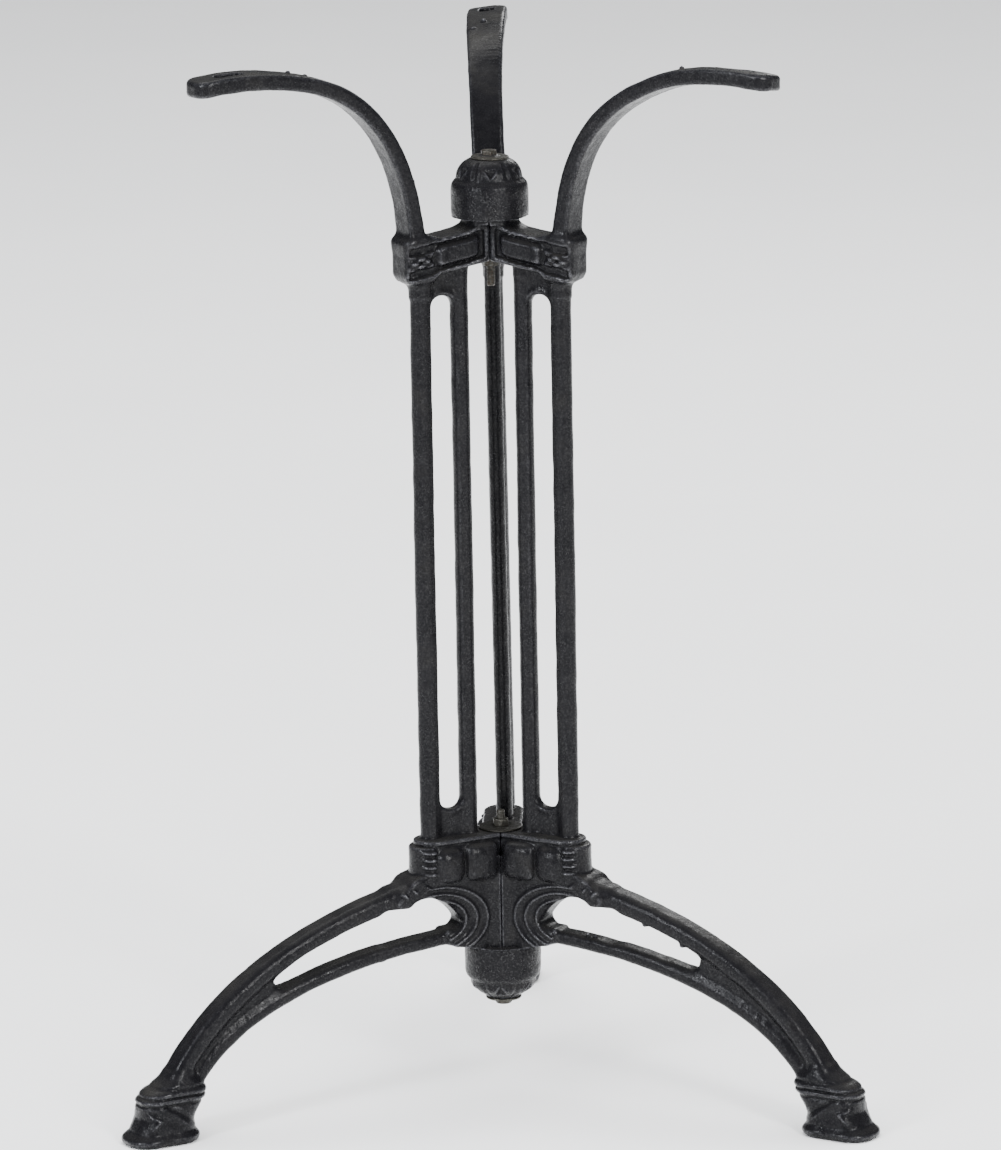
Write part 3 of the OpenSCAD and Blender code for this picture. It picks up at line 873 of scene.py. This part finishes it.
def painted_iron(name, grain, paler_on_top):
    """Satin black paint over sand-cast iron: grain, painted shade in hollows, rubbed ridges with a painted
    highlight, paler tops
    """
    material, tree, shader = nodes_of(name)
    links = tree.links
    patches = noise(tree, 45, 3, 0.6)
    fine = noise(tree, 900, 2, 0.6)
    base = ramp(tree, patches, [(0.30, (0.0045, 0.0045, 0.0054)), (0.55, (0.0070, 0.0068, 0.0078)),
                                (0.78, (0.0110, 0.0105, 0.0105))])
    geometry = tree.nodes.new("ShaderNodeNewGeometry")
    # convex edges get a paler colour: partly rubbed paint, partly a painted highlight that lights the edges
    # up
    ridges = ramp(tree, geometry.outputs["Pointiness"], [(0.515, 0.0), (0.575, 1.0)])
    wear_and_highlight = math_node(tree, "MULTIPLY", ridges, ramp(tree, fine, [(0.36, 0.15), (0.58, 1.0)]))
    worn_and_highlit = mix(tree, wear_and_highlight, base, (0.058, 0.058, 0.066))
    # painted shade: the colour darkens towards near black in the hollows
    hollow_shade = ramp(tree, geometry.outputs["Pointiness"], [(0.41, 1.0), (0.485, 0.0)])
    shaded = mix(tree, math_node(tree, "MULTIPLY", hollow_shade, 0.85), worn_and_highlit, (0.0022, 0.0022, 0.0022))
    # what faces up is painted paler, in patches
    facing = tree.nodes.new("ShaderNodeSeparateXYZ")
    links.new(geometry.outputs["Normal"], facing.inputs[0])
    up = ramp(tree, facing.outputs["Z"], [(0.60, 0.0), (1.0, 1.0)])
    paler_on_top_share = math_node(tree, "MULTIPLY", up, ramp(tree, patches, [(0.3, 0.25 * paler_on_top), (0.7, paler_on_top)]))
    links.new(mix(tree, paler_on_top_share, shaded, (0.030, 0.029, 0.026)), shader.inputs["Base Color"])
    gloss = ramp(tree, noise(tree, 160, 3, 0.6), [(0.3, 0.20), (0.7, 0.38)])
    links.new(mix(tree, wear_and_highlight, gloss, (0.25, 0.25, 0.25)), shader.inputs["Roughness"])
    # the paint in the hollows, darkened above as painted shade, is also less glossy, and the grains that
    # stand highest catch the light
    speckle = ramp(tree, fine, [(0.38, 0.07), (0.55, 0.14), (0.70, 0.14 + 0.25 * grain)])
    bright = mix(tree, wear_and_highlight, speckle, (0.85, 0.85, 0.85))
    links.new(mix(tree, hollow_shade, bright, (0.05, 0.05, 0.05)), shader.inputs["Specular IOR Level"])
    add_bump(tree, shader, [
        (noise(tree, 200, 2, 0.5), 0.35 * grain, 0.0012),
        (fine, 0.45 * grain, 0.0005),
    ])
    return material


def dull_steel(name, rust, shade=1.0):
    """Dull zinc-plated steel with olive tarnish and some brown rust, all darkened by a shade"""
    material, tree, shader = nodes_of(name)
    links = tree.links
    tarnish = ramp(tree, noise(tree, 320, 3, 0.6), [
        (0.3, (0.030, 0.028, 0.024)), (0.55, (0.055, 0.053, 0.045)), (0.75, (0.12, 0.118, 0.108))
    ])
    spots = ramp(tree, noise(tree, 700, 3, 0.7), [(0.62 - 0.14 * rust, 0.0), (0.76 - 0.14 * rust, 1.0)])
    rusted = mix(tree, spots, tarnish, (0.050, 0.034, 0.024))
    links.new(mix(tree, 1.0, rusted, (shade, shade, shade), "MULTIPLY"), shader.inputs["Base Color"])
    links.new(ramp(tree, noise(tree, 500, 2, 0.5), [(0.3, 0.32), (0.7, 0.58)]), shader.inputs["Roughness"])
    shader.inputs["Metallic"].default_value = 0.75
    add_bump(tree, shader, [(noise(tree, 1100, 2, 0.6), 0.4, 0.0003)])
    return material


def pale_floor():
    """Plain matt floor with a barely visible mottle"""
    material, tree, shader = nodes_of("pale_floor")
    colour = ramp(tree, noise(tree, 3, 2, 0.5), [(0.3, (0.86, 0.86, 0.855)), (0.7, (0.88, 0.88, 0.875))])
    tree.links.new(colour, shader.inputs["Base Color"])
    shader.inputs["Roughness"].default_value = 0.9
    shader.inputs["Specular IOR Level"].default_value = 0.2
    return material


# ---------------------------------------------------------------- pieces

def place(name, mesh, material, node, move=None):
    """Puts a finished mesh into the scene in the place of its CAD node"""
    piece = bpy.data.objects.new(name, mesh)
    bpy.context.scene.collection.objects.link(piece)
    mesh.materials.append(material)
    if move is not None:
        mesh.transform(move)
        mesh.update()
    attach(piece, "root")
    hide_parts(node)


def lift(z, flip=False, turn=0.0, tilt=0.0):
    """Moves a fastener to a height in millimetres, upside down if flip, turned and tilted in degrees"""
    move = Matrix.Translation((0, 0, z * MM)) @ Matrix.Rotation(math.radians(tilt), 4, "Y")
    if flip:
        move = move @ Matrix.Rotation(math.pi, 4, "X")
    return move @ Matrix.Rotation(math.radians(turn), 4, "Z")


def build_castings():
    shape = plain_casting()
    iron = painted_iron("painted_iron", 0.65, 0.5)
    for seed, name in enumerate(DIRECTIONS):
        place(name + "_iron", casting(name, shape, 11 + 10 * seed), iron, name)


def build_caps():
    iron = painted_iron("painted_cap_iron", 1.3, 0.35)
    place("top_cap_iron", cap_mesh("top_cap", 71, TOP_DOME), iron, "top_cap",
          lift(TOP_CAP_Z, turn=-86))
    place("bottom_cap_iron", cap_mesh("bottom_cap", 81, BOTTOM_DOME), iron, "bottom_cap",
          lift(BOTTOM_CAP_Z, flip=True, turn=-86))


def build_fasteners():
    steel = dull_steel("dull_steel", 0.3)
    rusty = dull_steel("rusty_steel", 0.9)
    dark = dull_steel("dark_steel", 0.2, 0.45)
    thick = high("top_washer") - low("top_washer")
    top_z = high("top_washer")
    aside = Matrix.Translation((0.7 * MM, 0, 0))
    place("top_washer_disc", turned("top_washer_disc", washer_profile(CAP_WASHER_R + 0.6, thick, 0.3)),
          steel, "top_washer", aside @ lift(low("top_washer") + 0.3, tilt=1.5))
    place("top_bolt_steel", bolt_mesh("top_bolt_steel", top_z - low("top_bolt"), 40),
          rusty, "top_bolt", lift(top_z, turn=12))
    place("top_nut_hexagon", turned("top_nut_hexagon", nut_profile(NUT_H), 72, FLATS / 2, HEX_EASE),
          rusty, "top_nut", lift(low("top_nut"), turn=20))
    foot_z = low("bottom_washer")
    place("bottom_washer_disc", turned("bottom_washer_disc", washer_profile(CAP_WASHER_R, thick, 0.3)),
          steel, "bottom_washer", lift(high("bottom_washer") - 0.3, flip=True))
    place("bottom_bolt_steel", bolt_mesh("bottom_bolt_steel", high("bottom_bolt") - foot_z, 30),
          steel, "bottom_bolt", lift(foot_z, flip=True, turn=30))
    place("hub_washer_disc", turned("hub_washer_disc", washer_profile(HUB_WASHER_R, thick, 0.2)),
          dark, "hub_washer", lift(SHELF_Z + 0.2))
    place("bottom_nut_hexagon", turned("bottom_nut_hexagon", nut_profile(NUT_H), 72, FLATS / 2, HEX_EASE),
          steel, "bottom_nut", lift(low("bottom_nut"), turn=8))


# ---------------------------------------------------------------- stage, light and camera

def build_floor():
    half = 15.0
    co = np.array([(-half, -half, 0), (half, -half, 0), (half, half, 0), (-half, half, 0)])
    mesh = mesh_from("floor", co, np.array([[0, 1, 2, 3]], np.int32))
    floor = bpy.data.objects.new("floor", mesh)
    bpy.context.scene.collection.objects.link(floor)
    mesh.materials.append(pale_floor())


def area_light(name, at, size, power, tint=(1, 1, 1), mirrored=True):
    """A soft light aimed at the middle of the object, which shows in its gloss if mirrored"""
    data = bpy.data.lights.new(name, "AREA")
    data.shape = "RECTANGLE"
    data.size, data.size_y = size
    data.energy = power
    data.color = tint
    light = bpy.data.objects.new(name, data)
    light.location = at
    light.visible_glossy = mirrored
    aim = Vector((0, 0, TOTAL_H * MM / 2)) - Vector(at)
    light.rotation_euler = aim.to_track_quat("-Z", "Y").to_euler()
    bpy.context.scene.collection.objects.link(light)


def build_lights():
    world = bpy.data.worlds.new("studio")
    world.use_nodes = True
    world.node_tree.nodes["Background"].inputs["Color"].default_value = (0.96, 0.98, 1.0, 1)
    world.node_tree.nodes["Background"].inputs["Strength"].default_value = 0.15
    bpy.context.scene.world = world
    area_light("overhead", (0.0, 0.0, 5.5), (9.0, 9.0), 1350, (0.97, 0.98, 1.0), False)
    area_light("top_glow", (-0.6, 1.6, 3.6), (2.5, 1.5), 25)
    area_light("front_right", (1.5, -2.3, 1.5), (0.35, 1.3), 72)
    area_light("front_left", (-1.9, -2.0, 1.5), (0.35, 1.3), 68, (0.93, 0.95, 1.0))
    area_light("behind", (0.8, 2.8, 1.8), (0.8, 1.2), 14)


# The camera: distance and height in millimetres, angles in degrees, focal length in
# picture widths
CAMERA_BACK = 4870.0
CAMERA_H = 1451.0
CAMERA_TILT = 12.65
CAMERA_PAN = 0.034
CAMERA_ROLL = -1.017
OBJECT_TURN = -1.673
FOCAL_WIDTHS = 7.3357
SENSOR_MM = 36


def build_camera():
    data = bpy.data.cameras.new("camera")
    data.sensor_fit = "HORIZONTAL"
    data.sensor_width = SENSOR_MM
    data.lens = SENSOR_MM * FOCAL_WIDTHS
    data.clip_end = 60
    camera = bpy.data.objects.new("camera", data)
    tilt, pan = math.radians(CAMERA_TILT), math.radians(CAMERA_PAN)
    ahead = Vector((math.sin(pan) * math.cos(tilt), math.cos(pan) * math.cos(tilt), -math.sin(tilt)))
    facing = ahead.to_track_quat("-Z", "Y").to_matrix().to_4x4()
    roll = Matrix.Rotation(math.radians(CAMERA_ROLL), 4, "Z")
    there = Matrix.Translation((0, -CAMERA_BACK * MM, CAMERA_H * MM)) @ facing @ roll
    camera.matrix_world = Matrix.Rotation(math.radians(-OBJECT_TURN), 4, "Z") @ there
    bpy.context.scene.collection.objects.link(camera)
    bpy.context.scene.camera = camera


build_camera()
build_floor()
build_lights()
build_castings()
build_caps()
build_fasteners()
